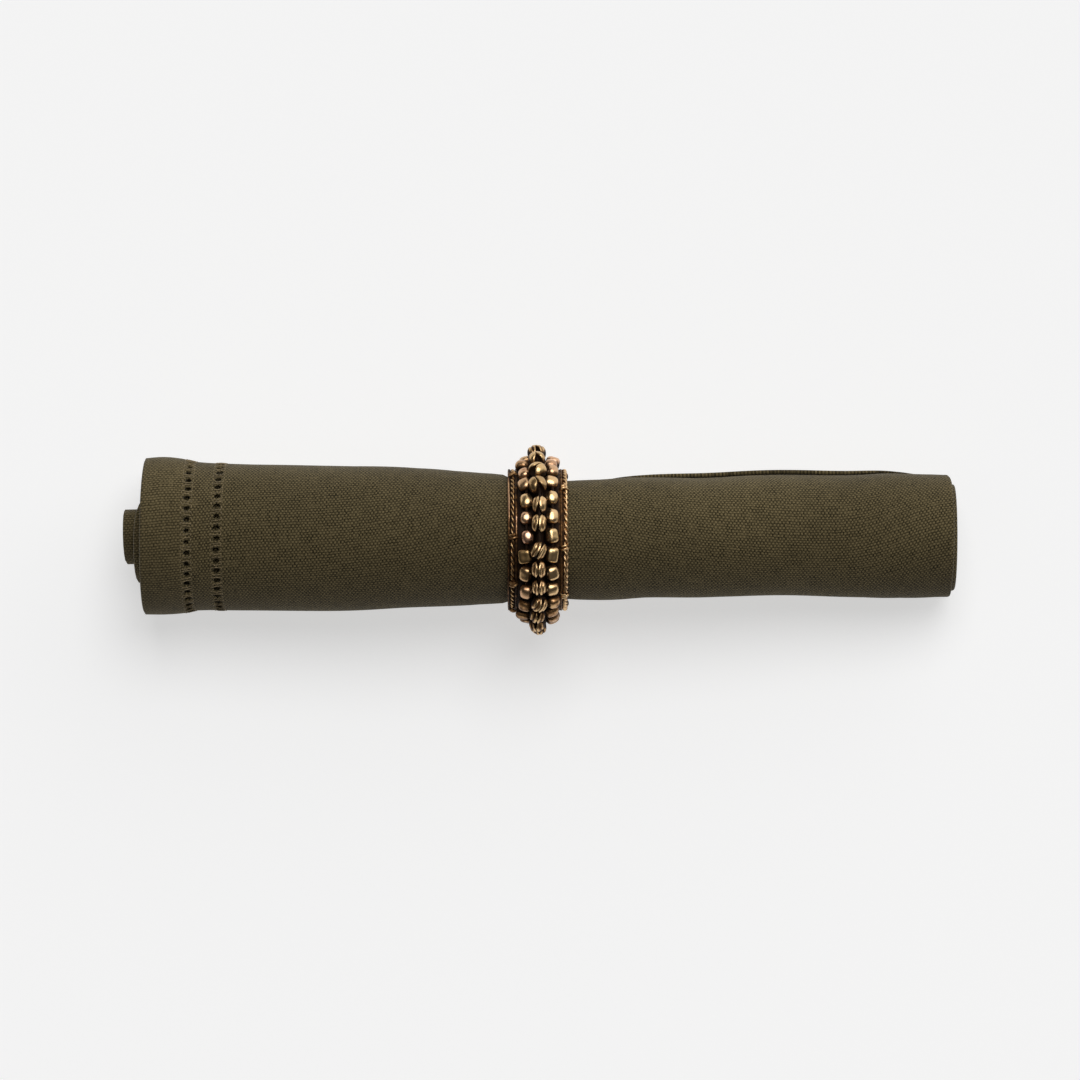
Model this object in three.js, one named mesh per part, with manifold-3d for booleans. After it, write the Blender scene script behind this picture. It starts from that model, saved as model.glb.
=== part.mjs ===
// A square cloth napkin, folded in half, rolled up and held by a beaded metal napkin ring.
// Millimetres, +Z up. The roll lies along X on the surface z = 0, the fold of the cloth is at its +X end
// and its hems are at the -X end. The origin is on that surface, under the middle of the whole thing.
// Angles round the roll and the ring are in degrees from the top, towards +Y.

import * as THREE from 'three';
import { mergeVertices } from 'three/addons/utils/BufferGeometryUtils.js';
import Module from 'manifold-3d';

const wasm = await Module();
wasm.setup();

// The cloth
const clothSide = 508; // the napkin laid out flat is a square of this side
const rollLength = clothSide / 2; // it is folded in half, and then rolled
const hemEnd = -124.8; // where the outer turn's hems end
const bendLoss = 0.8; // the roll's bend makes it this much shorter along X
const foldEnd = hemEnd + rollLength - bendLoss; // where the outer turn is folded
const turns = 6.4; // how often the folded cloth goes round: this takes up all of its 508 mm
const slack = 0.45; // the air between one turn and the next
const looseFall = 0.8; // the outer turn's radius falls by this much on its way round from the loose edge
const slitShare = 0.09; // how far round the slit under the loose edge reaches, as a share of a turn
const outlineSteps = 44; // points round one turn
const edgeRound = 0.5; // the roll's end edges are rounded by about this much

// The roll from end to end. radius is its half width, flatten its height over its width, sideways its centre
// in Y, and turn the thickness of one turn, which is two layers of cloth, and thicker where the hems are.
const rollRows = [
  { x: -125, radius: 24.6, flatten: 0.91, sideways: 1.8, turn: 3.6 },
  { x: -118, radius: 24.9, flatten: 0.91, sideways: 2, turn: 3.7 },
  { x: -112, radius: 24.4, flatten: 0.92, sideways: 2, turn: 3.5 },
  { x: -108, radius: 23.6, flatten: 0.93, sideways: 2.0, turn: 3.3 },
  { x: -97, radius: 23.2, flatten: 0.94, sideways: 1.7, turn: 3.3 },
  { x: -75, radius: 23.1, flatten: 0.95, sideways: 1.2, turn: 3.3 },
  { x: -58, radius: 22.9, flatten: 0.96, sideways: 1.0, turn: 3.2 },
  { x: -43, radius: 22.2, flatten: 0.97, sideways: 1.2, turn: 3 },
  { x: -28, radius: 21.3, flatten: 0.98, sideways: 0.9, turn: 2.7 },
  { x: -18, radius: 20.5, flatten: 0.99, sideways: 0.6, turn: 2.5 },
  { x: -13, radius: 19.9, flatten: 1, sideways: 0.3, turn: 2.2 },
  { x: -11.4, radius: 19.5, flatten: 1, sideways: 0.2, turn: 2.1 },
  { x: -10.4, radius: 18.95, flatten: 1, sideways: 0, turn: 1.9 },
  { x: 8, radius: 18.6, flatten: 1, sideways: 0, turn: 1.8 },
  { x: 12, radius: 18.8, flatten: 1, sideways: 0.1, turn: 1.9 },
  { x: 20, radius: 18.9, flatten: 0.99, sideways: 0.3, turn: 2 },
  { x: 42, radius: 18.9, flatten: 0.98, sideways: 0.9, turn: 2.1 },
  { x: 66, radius: 18.8, flatten: 0.97, sideways: 1.4, turn: 2.3 },
  { x: 90, radius: 19.3, flatten: 0.96, sideways: 1.5, turn: 2.5 },
  { x: 112, radius: 19.6, flatten: 0.95, sideways: 1.3, turn: 2.2 },
  { x: 124, radius: 19.3, flatten: 0.95, sideways: 1.6, turn: 2.1 },
  { x: 130, radius: 19.1, flatten: 0.95, sideways: 1.7, turn: 2 },
];

// The loose edge of the cloth, on the far side. edge is the angle it has reached, leaf its thickness there,
// and lift how far it stands away from the turn under it.
const looseRows = [
  { x: -125, edge: 116, leaf: 2.6, lift: 0 },
  { x: -112, edge: 115, leaf: 2.5, lift: 0 },
  { x: -100, edge: 114, leaf: 1.9, lift: 0 },
  { x: -60, edge: 112, leaf: 1.7, lift: 0 },
  { x: -12, edge: 105, leaf: 1.4, lift: 0 },
  { x: 9, edge: 101, leaf: 1.3, lift: 0 },
  { x: 34, edge: 94, leaf: 1.2, lift: 0.3 },
  { x: 60, edge: 88, leaf: 1.1, lift: 1 },
  { x: 85, edge: 85, leaf: 1.1, lift: 1.3 },
  { x: 104, edge: 89, leaf: 1.1, lift: 0.6 },
  { x: 114, edge: 97, leaf: 1.2, lift: 0 },
  { x: 130, edge: 101, leaf: 1.3, lift: 0 },
];

// The ends are not level: inner turns stand out of the hem end, and one stands out of the fold end. from is
// counted in turns from the loose edge, end is where that stretch ends, and aside its shift in Y.
const hemSteps = [
  { from: 3.4, end: -127.6, aside: -2.8 },
  { from: 4.4, end: -130.9, aside: 0.2 },
];
const foldSteps = [{ from: 1.3, end: 130.9, aside: -0.8 }];
const foldHollow = { from: 4.4, end: 122.3 }; // the core has slid towards the hems, so it is missing here
const endDepth = 5; // how deep the gaps between the turns are cut into the ends

// The ring
const ringAt = -0.55; // X of its middle
const ringHeight = 29.5; // Z of its axis
const boreRadius = 19.75;
const bandSteps = 56;
const beadCount = 26;
const wireRadius = 0.45; // the wire that a row of beads is strung on
const rimRadius = 21.45; // the twisted wires run at this radius
const rimStrand = 0.73; // mean radius of a twisted wire
const rimLobe = 0.13; // how far its strands stand out
const rimStrokes = 62; // strands that show once round
const rimSides = 6;

// The band's section, from its bore outwards: a seat for each twisted wire, a lip at the -X edge, a raised
// belt that carries the outer rows of beads, and a ridge that carries the middle row. across is measured
// from the middle of the ring along X.
const bandSection = [
  { across: 9.3, radius: boreRadius },
  { across: -9.65, radius: boreRadius },
  { across: -9.65, radius: 22.1 },
  { across: -9.3, radius: 22.1 },
  { across: -9.15, radius: 20.3 },
  { across: -7.1, radius: 20.3 },
  { across: -6.95, radius: 21.6 },
  { across: -6.5, radius: 21.95 },
  { across: -1.1, radius: 21.95 },
  { across: -0.8, radius: 24.4 },
  { across: 1.8, radius: 24.4 },
  { across: 2.1, radius: 21.95 },
  { across: 6.7, radius: 21.95 },
  { across: 7.1, radius: 21.6 },
  { across: 7.25, radius: 20.3 },
  { across: 9.3, radius: 20.3 },
];

// The rows of beads: across and radius are the middle of a bead, width and height its size over the band,
// and length its size along the wire. first is the angle of one bead, and a slit bead has a slit in its top.
const sideBead = { radius: 24.3, width: 4.1, height: 4.1, length: 4.5, slit: false };
const middleBead = { radius: 27.5, width: 4.9, height: 5, length: 5.1, slit: true };
const beadRows = [
  { name: 'bead_row_left', across: -4.15, first: 4, ...sideBead },
  { name: 'bead_row_middle', across: 0.5, first: -1.5, ...middleBead },
  { name: 'bead_row_right', across: 4.5, first: 1, ...sideBead },
];

// How the roll sinks from the ring to the surface it lies on, on either side: how far out and how deep, and
// how much of its slope the end face takes over.
const gripHalf = 11; // the stretch in the ring is straight
const hemSag = { reach: 113, drop: 7.9, lean: 0.65 };
const foldSag = { reach: 117, drop: 12, lean: 0.3 };

const clothMaterial = new THREE.MeshStandardMaterial({ color: 0x4a4230, roughness: 0.9, metalness: 0 });
const bandMaterial = new THREE.MeshStandardMaterial({ color: 0x5a4636, roughness: 0.45, metalness: 1 });
const rimMaterial = new THREE.MeshStandardMaterial({ color: 0x94795a, roughness: 0.35, metalness: 1 });
const beadMaterial = new THREE.MeshStandardMaterial({ color: 0x8f7650, roughness: 0.3, metalness: 1 });

const radians = THREE.MathUtils.degToRad;

// A column of a table at x, on a smooth curve through its rows.
function columnAt(rows, column, x) {
  let i = rows.findIndex((row) => row.x > x) - 1;
  if (i === -2) i = rows.length - 2;
  i = Math.max(i, 0);
  const slope = (k) => {
    const before = rows[Math.max(k - 1, 0)];
    const after = rows[Math.min(k + 1, rows.length - 1)];
    return (after[column] - before[column]) / (after.x - before.x);
  };
  const [a, b] = [rows[i], rows[i + 1]];
  const span = b.x - a.x;
  const t = THREE.MathUtils.clamp((x - a.x) / span, 0, 1);
  const [t2, t3] = [t * t, t * t * t];
  const ends = (2 * t3 - 3 * t2 + 1) * a[column] + (3 * t2 - 2 * t3) * b[column];
  return ends + span * ((t3 - 2 * t2 + t) * slope(i) + (t3 - t2) * slope(i + 1));
}

// A closed mesh from its corners and triangles.
function meshOf(corners, triangles) {
  const geometry = new THREE.BufferGeometry().setFromPoints(corners);
  geometry.setIndex(triangles.flat());
  geometry.computeVertexNormals();
  return geometry;
}

// Triangles between two loops of n corners each, whose first corners are at a and b.
function bandBetween(a, b, n) {
  const triangles = [];
  for (let j = 0; j < n; j++) {
    const k = (j + 1) % n;
    triangles.push([a + j, b + j, a + k], [b + j, b + k, a + k]);
  }
  return triangles;
}

// A ring round the X axis through a closed row of loops of corners.
function hoopOf(loops) {
  const n = loops[0].length;
  const triangles = loops.flatMap((_, i) => bandBetween(((i + 1) % loops.length) * n, i * n, n));
  return meshOf(loops.flat(), triangles);
}

// A solid through open loops of corners, with flat ends.
function loftOf(loops) {
  const n = loops[0].length;
  const last = (loops.length - 1) * n;
  const triangles = loops.slice(1).flatMap((_, i) => bandBetween(i * n, (i + 1) * n, n));
  const flat = (loop) => loop.map((p) => new THREE.Vector2(p.y, p.z));
  for (const [a, b, c] of THREE.ShapeUtils.triangulateShape(flat(loops[0]), [])) triangles.push([a, c, b]);
  for (const corners of THREE.ShapeUtils.triangulateShape(flat(loops.at(-1)), [])) {
    triangles.push(corners.map((corner) => last + corner));
  }
  return meshOf(loops.flat(), triangles);
}

// A prism along X between two places, from an outline in Y and Z.
function prismOf(outline, from, to) {
  const shape = new THREE.Shape(outline);
  const geometry = new THREE.ExtrudeGeometry(shape, { depth: to - from, bevelEnabled: false });
  const axes = new THREE.Matrix4().makeBasis(
    new THREE.Vector3(0, 1, 0), new THREE.Vector3(0, 0, 1), new THREE.Vector3(1, 0, 0)
  );
  return geometry.applyMatrix4(axes).translate(from, 0, 0);
}

function solidOf(geometry) {
  const bare = geometry.clone();
  bare.deleteAttribute('normal');
  bare.deleteAttribute('uv');
  const merged = mergeVertices(bare, 1e-4);
  return new wasm.Manifold(
    new wasm.Mesh({
      numProp: 3,
      vertProperties: merged.attributes.position.array,
      triVerts: new Uint32Array(merged.index.array),
    })
  );
}

function geometryOf(solid) {
  const { vertProperties, triVerts } = solid.getMesh();
  const geometry = new THREE.BufferGeometry();
  geometry.setAttribute('position', new THREE.BufferAttribute(new Float32Array(vertProperties), 3));
  geometry.setIndex(new THREE.BufferAttribute(new Uint32Array(triVerts), 1));
  geometry.computeVertexNormals();
  return geometry;
}

// The napkin, first straight along X. Its outer turn is counted from 0 at the loose edge to 1.

function outerRadius(x, share) {
  const [leaf, lift] = [columnAt(looseRows, 'leaf', x), columnAt(looseRows, 'lift', x)];
  const lifted = lift * Math.max(0, 1 - share / (2 * slitShare)) ** 2;
  const pressed = (leaf + slack - looseFall - lift) * THREE.MathUtils.smoothstep(share, 0.86, 1);
  return columnAt(rollRows, 'radius', x) + looseFall * (0.5 - share) + lifted - pressed;
}

// The thickness of the outer turn, which thins towards the loose edge.
function layerAt(x, share) {
  const [leaf, full] = [columnAt(looseRows, 'leaf', x), columnAt(rollRows, 'turn', x) - slack];
  return leaf + (full - leaf) * THREE.MathUtils.smoothstep(share, 0, slitShare);
}

function onCircle(x, share, radius) {
  const angle = radians(columnAt(looseRows, 'edge', x) + 360 * share);
  return new THREE.Vector3(x, radius * Math.sin(angle), radius * Math.cos(angle));
}

// Round the outside to the loose edge, into the slit under it, and back along the inside of the loose end.
function rollOutline(x, inset) {
  const slitSteps = 4;
  const loop = [];
  for (let i = 0; i < outlineSteps; i++) {
    const share = i / outlineSteps;
    loop.push(onCircle(x, share, outerRadius(x, share) - inset));
  }
  for (let i = 0; i <= slitSteps; i++) {
    const share = (slitShare * i) / slitSteps;
    loop.push(onCircle(x, share, outerRadius(x, share) - layerAt(x, share) - slack - inset));
  }
  for (let i = slitSteps; i >= 0; i--) {
    const share = (slitShare * i) / slitSteps;
    loop.push(onCircle(x, share, outerRadius(x, share) - layerAt(x, share) + inset));
  }
  return loop;
}

// The spiral inside the outer turn, seen from an end: its outer face after a number of turns.
function spiralPoint(end, turned, out) {
  const turn = columnAt(rollRows, 'turn', end);
  const radius = outerRadius(end, 1) - (turned - 1) * turn + out;
  const place = onCircle(end, turned % 1, radius);
  return new THREE.Vector2(place.y, place.z);
}

// Everything of the spiral inside a number of turns, out to the middle of the gap round it.
function insideTurn(end, from, one, other, aside = 0) {
  const steps = 26;
  const outline = Array.from({ length: steps }, (_, i) => spiralPoint(end, from + i / steps, slack / 2));
  return solidOf(prismOf(outline, Math.min(one, other), Math.max(one, other)).translate(0, aside, 0));
}

// The gap that winds inwards between the turns.
function spiralGap(end, one, other) {
  const steps = Math.round((turns - 1.2) * 20);
  const along = Array.from({ length: steps + 1 }, (_, i) => 1.04 + (i * (turns - 1.2)) / steps);
  const outline = [
    ...along.map((turned) => spiralPoint(end, turned, slack)),
    ...along.reverse().map((turned) => spiralPoint(end, turned, 0)),
  ];
  return solidOf(prismOf(outline, Math.min(one, other), Math.max(one, other)));
}

function straightRoll() {
  const between = rollRows.map((row) => row.x).filter((x) => x > hemEnd + 1 && x < foldEnd - 1);
  const stations = [hemEnd, hemEnd + edgeRound, ...between, foldEnd - edgeRound, foldEnd];
  const isEnd = (x) => x === hemEnd || x === foldEnd;
  let roll = solidOf(loftOf(stations.map((x) => rollOutline(x, isEnd(x) ? edgeRound / 2 : 0))));
  for (const { from, end, aside } of hemSteps) {
    roll = roll.add(insideTurn(hemEnd, from, end, hemEnd + endDepth, aside));
  }
  for (const { from, end, aside } of foldSteps) {
    roll = roll.add(insideTurn(foldEnd, from, foldEnd - endDepth, end, aside));
  }
  const farOut = 135;
  roll = roll.subtract(insideTurn(foldEnd, foldHollow.from, foldHollow.end, farOut));
  roll = roll.subtract(spiralGap(hemEnd, -farOut, hemEnd + endDepth));
  return roll.subtract(spiralGap(foldEnd, foldEnd - endDepth, farOut));
}

// How far the roll's centre has sunk at x, and how far its section there is tipped outwards, for each mm up.
function sagAt(x) {
  const { reach, drop, lean } = x < ringAt ? hemSag : foldSag;
  const t = Math.max(0, (Math.abs(x - ringAt) - gripHalf) / reach);
  const slope = (drop * (3 * t - 1.5 * t * t)) / reach;
  return { sunk: (drop * t * t * (3 - t)) / 2, tip: lean * (x < ringAt ? -slope : slope) };
}

// The straight roll is flattened, bent down to the surface on both sides of the ring, and stands flat on it.
function napkinGeometry() {
  const geometry = geometryOf(straightRoll());
  const place = geometry.attributes.position;
  for (let i = 0; i < place.count; i++) {
    const [x, y, z] = [place.getX(i), place.getY(i), place.getZ(i)];
    const { sunk, tip } = sagAt(x);
    const height = z * columnAt(rollRows, 'flatten', x);
    place.setXYZ(
      i,
      x + tip * height,
      y + columnAt(rollRows, 'sideways', x),
      Math.max(0, height + ringHeight - sunk)
    );
  }
  geometry.computeVertexNormals();
  return geometry;
}

// The ring's pieces, round the X axis.

function bandGeometry() {
  const closed = [...bandSection, bandSection[0]];
  const profile = closed.map(({ across, radius }) => new THREE.Vector2(radius, across));
  return new THREE.LatheGeometry(profile, bandSteps).rotateZ(-Math.PI / 2);
}

// A corner of a section of a ring's piece, sideways and outwards from its middle line. Nothing of the ring
// reaches below the surface it stands on.
function roundRing(angle, radius, across, sideways, outwards) {
  const reach = radius + outwards;
  const height = Math.max(reach * Math.cos(angle), -ringHeight);
  return new THREE.Vector3(across + sideways, reach * Math.sin(angle), height);
}

// Two strands twisted together: a tube of six sides whose corners stand out in turn as the strands pass.
function rimGeometry(across) {
  const stepsPerStroke = 3;
  const loops = [];
  for (let i = 0; i < rimStrokes * stepsPerStroke; i++) {
    const angle = (2 * Math.PI * i) / (rimStrokes * stepsPerStroke);
    const twist = (Math.PI * i) / stepsPerStroke;
    const loop = [];
    for (let j = 0; j < rimSides; j++) {
      const side = (2 * Math.PI * j) / rimSides;
      const reach = rimStrand + rimLobe * Math.cos(2 * side - 2 * twist);
      loop.push(roundRing(angle, rimRadius, across, reach * Math.sin(side), reach * Math.cos(side)));
    }
    loops.push(loop);
  }
  return hoopOf(loops);
}

// A bead's section, as corners on a circle of radius 1: a rounded square, or a bean with a slit on top.
function beadSection(slit) {
  if (slit) {
    const bean = [[0, 0.72], [26, 1], [76, 1], [130, 0.97], [180, 0.95], [230, 0.97], [284, 1], [334, 1]];
    return bean.map(([angle, reach]) => ({ angle: radians(angle), reach }));
  }
  const squareness = 3;
  return Array.from({ length: 8 }, (_, i) => {
    const angle = radians(22.5 + 45 * i);
    const spread = Math.abs(Math.cos(angle)) ** squareness + Math.abs(Math.sin(angle)) ** squareness;
    return { angle, reach: spread ** (-1 / squareness) };
  });
}

// A row of beads on its wire, as one tube that swells at each bead. Beads differ a little in place and size.
function beadRowGeometry({ across, radius, width, height, length, first, slit }) {
  const section = beadSection(slit);
  const wire = section.map(({ angle }) => [wireRadius * Math.sin(angle), wireRadius * Math.cos(angle)]);
  const stations = [
    { along: -1, swell: 0 },
    { along: -0.72, swell: 0.84 },
    { along: 0, swell: 1 },
    { along: 0.72, swell: 0.84 },
    { along: 1, swell: 0 },
  ];
  const loops = [];
  for (let i = 0; i < beadCount; i++) {
    const wander = Math.sin(i * 12.9898 + across * 7.3); // handwork: from -1 to 1, another one for each bead
    const middle = first + (360 * i) / beadCount + 0.7 * wander;
    const size = 0.98 - 0.02 * wander;
    for (const { along, swell } of stations) {
      const angle = radians(middle) + (along * size * length) / 2 / radius;
      const half = { width: (swell * size * width) / 2, height: (swell * size * height) / 2 };
      const corners = section.map((corner) => [
        half.width * corner.reach * Math.sin(corner.angle),
        half.height * corner.reach * Math.cos(corner.angle),
      ]);
      loops.push((swell ? corners : wire).map((corner) => roundRing(angle, radius, across, ...corner)));
    }
  }
  return hoopOf(loops);
}

function named(name, geometry, material) {
  const mesh = new THREE.Mesh(geometry, material);
  mesh.name = name;
  return mesh;
}

const ring = new THREE.Group();
ring.position.set(ringAt, 0, ringHeight);
ring.add(
  named('ring_band', bandGeometry(), bandMaterial),
  named('rim_wire_left', rimGeometry(-8.15), rimMaterial),
  named('rim_wire_right', rimGeometry(8.75), rimMaterial),
  ...beadRows.map((row) => named(row.name, beadRowGeometry(row), beadMaterial))
);

const laid = new THREE.Group();
laid.add(named('napkin', napkinGeometry(), clothMaterial), ring);
const middle = new THREE.Box3().setFromObject(laid, true).getCenter(new THREE.Vector3());
laid.position.set(-middle.x, -middle.y, 0);

const part = new THREE.Group();
part.add(laid);

export default part;
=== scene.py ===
import math

import bpy
import numpy as np
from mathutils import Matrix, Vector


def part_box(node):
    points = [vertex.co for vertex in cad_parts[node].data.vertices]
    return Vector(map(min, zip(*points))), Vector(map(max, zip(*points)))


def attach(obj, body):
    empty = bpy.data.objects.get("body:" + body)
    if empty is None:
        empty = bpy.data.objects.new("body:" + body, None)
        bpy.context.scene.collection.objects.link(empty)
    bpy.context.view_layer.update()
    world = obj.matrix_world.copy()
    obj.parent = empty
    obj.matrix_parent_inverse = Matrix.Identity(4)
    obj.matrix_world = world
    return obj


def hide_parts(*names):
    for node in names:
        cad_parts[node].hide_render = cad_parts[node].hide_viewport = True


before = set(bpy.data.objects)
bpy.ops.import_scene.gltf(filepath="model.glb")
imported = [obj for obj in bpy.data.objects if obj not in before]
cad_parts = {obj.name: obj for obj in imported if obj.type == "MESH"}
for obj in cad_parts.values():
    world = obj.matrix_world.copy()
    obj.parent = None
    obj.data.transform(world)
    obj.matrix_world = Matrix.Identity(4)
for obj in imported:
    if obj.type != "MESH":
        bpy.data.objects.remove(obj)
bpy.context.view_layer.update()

mm = 0.001  # lengths below are in millimetres, and go into the meshes in metres
turnAngle = 2 * math.pi

# where the ring is, read from its band in the frame
bandLeft = 9.65  # how far the band reaches to the left of the ring's middle
bandLow, bandHigh = (np.array(corner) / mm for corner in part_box("ring_band"))
ringX = bandLow[0] + bandLeft
ringY = (bandLow[1] + bandHigh[1]) / 2
ringZ = 29.5  # height of the ring's axis
# the ring's right edge is drawn in at its +Y and -Y sides, from one place across the ring to another
edgeBow = {"plusY": 0.6, "minusY": 0.35, "from": 6.5, "to": 8.5}


# 0 before start, 1 after end, and 3 t^2 - 2 t^3 between them
def smooth(value, start, end):
    t = np.clip((value - start) / (end - start), 0, 1)
    return t * t * (3 - 2 * t)


# the columns of a table at x, on cubics whose slopes at the rows are the differences across them
def columns(rows, x):
    table = np.array(rows, float)
    at, values = table[:, 0], table[:, 1:]
    last = len(at) - 1
    before = np.maximum(np.arange(last + 1) - 1, 0)
    after = np.minimum(np.arange(last + 1) + 1, last)
    slopes = (values[after] - values[before]) / (at[after] - at[before])[:, None]
    x = np.asarray(x, float)
    i = np.clip(np.searchsorted(at, x, side="right") - 1, 0, last - 1)
    span = (at[i + 1] - at[i])[..., None]
    t = np.clip((x - at[i])[..., None] / span, 0, 1)
    ends = (2 * t**3 - 3 * t**2 + 1) * values[i] + (3 * t**2 - 2 * t**3) * values[i + 1]
    result = ends + span * ((t**3 - 2 * t**2 + t) * slopes[i] + (t**3 - t**2) * slopes[i + 1])
    return np.moveaxis(result, -1, 0)


# six times the volume inside a closed surface: the sum of a . (b x c) over its triangles
def volumeOf(corners, groups):
    total = 0.0
    for group in groups:
        first = corners[group[:, 0]]
        for k in range(1, group.shape[1] - 1):
            total += np.sum(first * np.cross(corners[group[:, k]], corners[group[:, k + 1]]))
    return total


# a piece from corners in mm and groups of faces, all of one size in a group; node is the solid it replaces
def addPiece(name, corners, groups, material, slot, node=None, uv=None, values=None):
    groups = [group for group in groups if len(group)]
    if volumeOf(corners, groups) < 0:
        groups = [group[:, ::-1] for group in groups]
    mesh = bpy.data.meshes.new(name)
    mesh.from_pydata((corners * mm).tolist(), [], [face for group in groups for face in group.tolist()])
    mesh.shade_smooth()
    loops = np.concatenate([group.ravel() for group in groups])
    if uv is not None:
        layer = mesh.uv_layers.new(name="cloth")
        layer.data.foreach_set("uv", uv[loops].astype(np.float32).ravel())
    for key, data in (values or {}).items():
        mesh.attributes.new(key, "FLOAT", "POINT").data.foreach_set("value", data.astype(np.float32))
    mesh.materials.append(material)
    mesh.validate()
    mesh.update()
    piece = bpy.data.objects.new(name, mesh)
    bpy.context.scene.collection.objects.link(piece)
    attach(piece, "root")
    if node:
        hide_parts(node)
    print(f"{name}: {sum(len(g) * (g.shape[1] - 2) for g in groups)} triangles")
    return piece


# tubes along paths (tube, step, xyz): p + r (cos a) top + r (sin a) side, both square to the path
def tubes(paths, radius, sides, up, closed=False):
    if closed:
        along = np.roll(paths, -1, 1) - np.roll(paths, 1, 1)
    else:
        along = np.gradient(paths, axis=1)
    along = along / np.linalg.norm(along, axis=-1, keepdims=True)
    side = np.cross(along, np.broadcast_to(up, paths.shape))
    side = side / np.linalg.norm(side, axis=-1, keepdims=True)
    top = np.cross(side, along)
    angle = (turnAngle * np.arange(sides) / sides)[:, None]
    radius = np.broadcast_to(radius, paths.shape[:2])[:, :, None, None]
    around = np.cos(angle) * top[:, :, None] + np.sin(angle) * side[:, :, None]
    rings = paths[:, :, None] + radius * around
    index = np.arange(rings[..., 0].size).reshape(rings.shape[:3])
    here, there = (index, np.roll(index, -1, 1)) if closed else (index[:, :-1], index[:, 1:])
    quads = np.stack([here, np.roll(here, -1, 2), np.roll(there, -1, 2), there], -1).reshape(-1, 4)
    groups = [quads]
    if not closed:
        groups += [index[:, 0, ::-1], index[:, -1]]
    return rings.reshape(-1, 3), groups


# several sets of corners and faces as one
def joined(parts):
    corners, groups, start = [], [], 0
    for points, faces in parts:
        corners.append(points)
        groups += [face + start for face in faces]
        start += len(points)
    return np.concatenate(corners), groups


# corners of count balls as their latitudes from pole to pole and angles round, and faces with closed poles
def balls(count, latitudes, around):
    inner = latitudes[1:-1]
    lat = np.concatenate([[latitudes[0]], np.repeat(inner, around), [latitudes[-1]]])
    turn = turnAngle * np.arange(around) / around
    lon = np.concatenate([[0], np.tile(turn, len(inner)), [0]])
    grid = 1 + np.arange(len(inner) * around).reshape(len(inner), around)
    quads = np.stack([grid[:-1], np.roll(grid[:-1], -1, 1), np.roll(grid[1:], -1, 1), grid[1:]], -1)
    first = np.stack([np.zeros(around, int), np.roll(grid[0], -1), grid[0]], -1)
    final = np.stack([np.full(around, len(lat) - 1), grid[-1], np.roll(grid[-1], -1)], -1)
    shift = len(lat) * np.arange(count)[:, None, None]
    caps = np.concatenate([first, final])
    groups = [(quads.reshape(-1, 4) + shift).reshape(-1, 4), (caps + shift).reshape(-1, 3)]
    return np.tile(lat, (count, 1)), np.tile(lon, (count, 1)), groups


# a place round the ring's axis, (across, reach sin a, reach cos a) with the angle a from the top towards +Y, moved
# along the rim; nothing goes below the surface
def roundRing(across, reach, angle, along=0):
    drawnIn = np.where(np.sin(angle) > 0, edgeBow["plusY"], edgeBow["minusY"])
    bow = np.sin(angle) ** 2 * drawnIn
    across = across - bow * smooth(across, edgeBow["from"], edgeBow["to"])
    y = ringY + reach * np.sin(angle) + along * np.cos(angle)
    z = ringZ + reach * np.cos(angle) - along * np.sin(angle)
    return np.stack(np.broadcast_arrays(ringX + across, y, np.maximum(z, 0)), -1)


# a socket of a node tree: sums and products of wires add the Math nodes for them
class Wire:
    def __init__(self, tree, socket=None):
        self.tree, self.socket = tree, socket

    # a node of a kind: its settings first, then the values or wires of its sockets
    def node(self, kind, settings=None, inputs=None, output=0):
        made = self.tree.nodes.new(kind)
        for name, value in (settings or {}).items():
            setattr(made, name, value)
        for name, value in (inputs or {}).items():
            if isinstance(value, Wire):
                self.tree.links.new(value.socket, made.inputs[name])
            else:
                made.inputs[name].default_value = value
        return Wire(self.tree, made.outputs[output] if len(made.outputs) else None)

    def math(self, operation, *others, clamp=False):
        values = dict(enumerate((self, *others)))
        return self.node("ShaderNodeMath", {"operation": operation, "use_clamp": clamp}, values)

    def __add__(self, other):
        return self.math("ADD", other)

    __radd__ = __add__

    def __mul__(self, other):
        return self.math("MULTIPLY", other)

    __rmul__ = __mul__

    def __sub__(self, other):
        return self.math("SUBTRACT", other)

    def __rsub__(self, other):
        return self.node("ShaderNodeMath", {"operation": "SUBTRACT"}, {0: other, 1: self})

    def __pow__(self, other):
        return self.math("POWER", other)

    # between two colours, by this wire
    def mix(self, first, second, blend="MIX"):
        colour = lambda c: c if isinstance(c, Wire) else (*c, 1)
        settings = {"data_type": "RGBA", "blend_type": blend}
        return self.node("ShaderNodeMix", settings, {0: self, 6: colour(first), 7: colour(second)}, 2)

    # from 0 at one value to 1 at another
    def ramp(self, start, end):
        inputs = {"Value": self, "From Min": start, "From Max": end}
        return self.node("ShaderNodeMapRange", {"interpolation_type": "SMOOTHSTEP"}, inputs)


def newMaterial(name):
    material = bpy.data.materials.new(name)
    material.use_nodes = True
    material.node_tree.nodes.clear()
    return material, Wire(material.node_tree)


def surface(wire, **sockets):
    inputs = {name.replace("_", " "): value for name, value in sockets.items()}
    shader = wire.node("ShaderNodeBsdfPrincipled", None, inputs)
    wire.node("ShaderNodeOutputMaterial", None, {"Surface": shader})


# three-dimensional noise on the object's own coordinates in metres
def spotsOf(wire, scale, detail):
    place = wire.node("ShaderNodeTexCoord", None, None, 3)
    return wire.node("ShaderNodeTexNoise", None, {"Vector": place, "Scale": scale, "Detail": detail})


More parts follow.
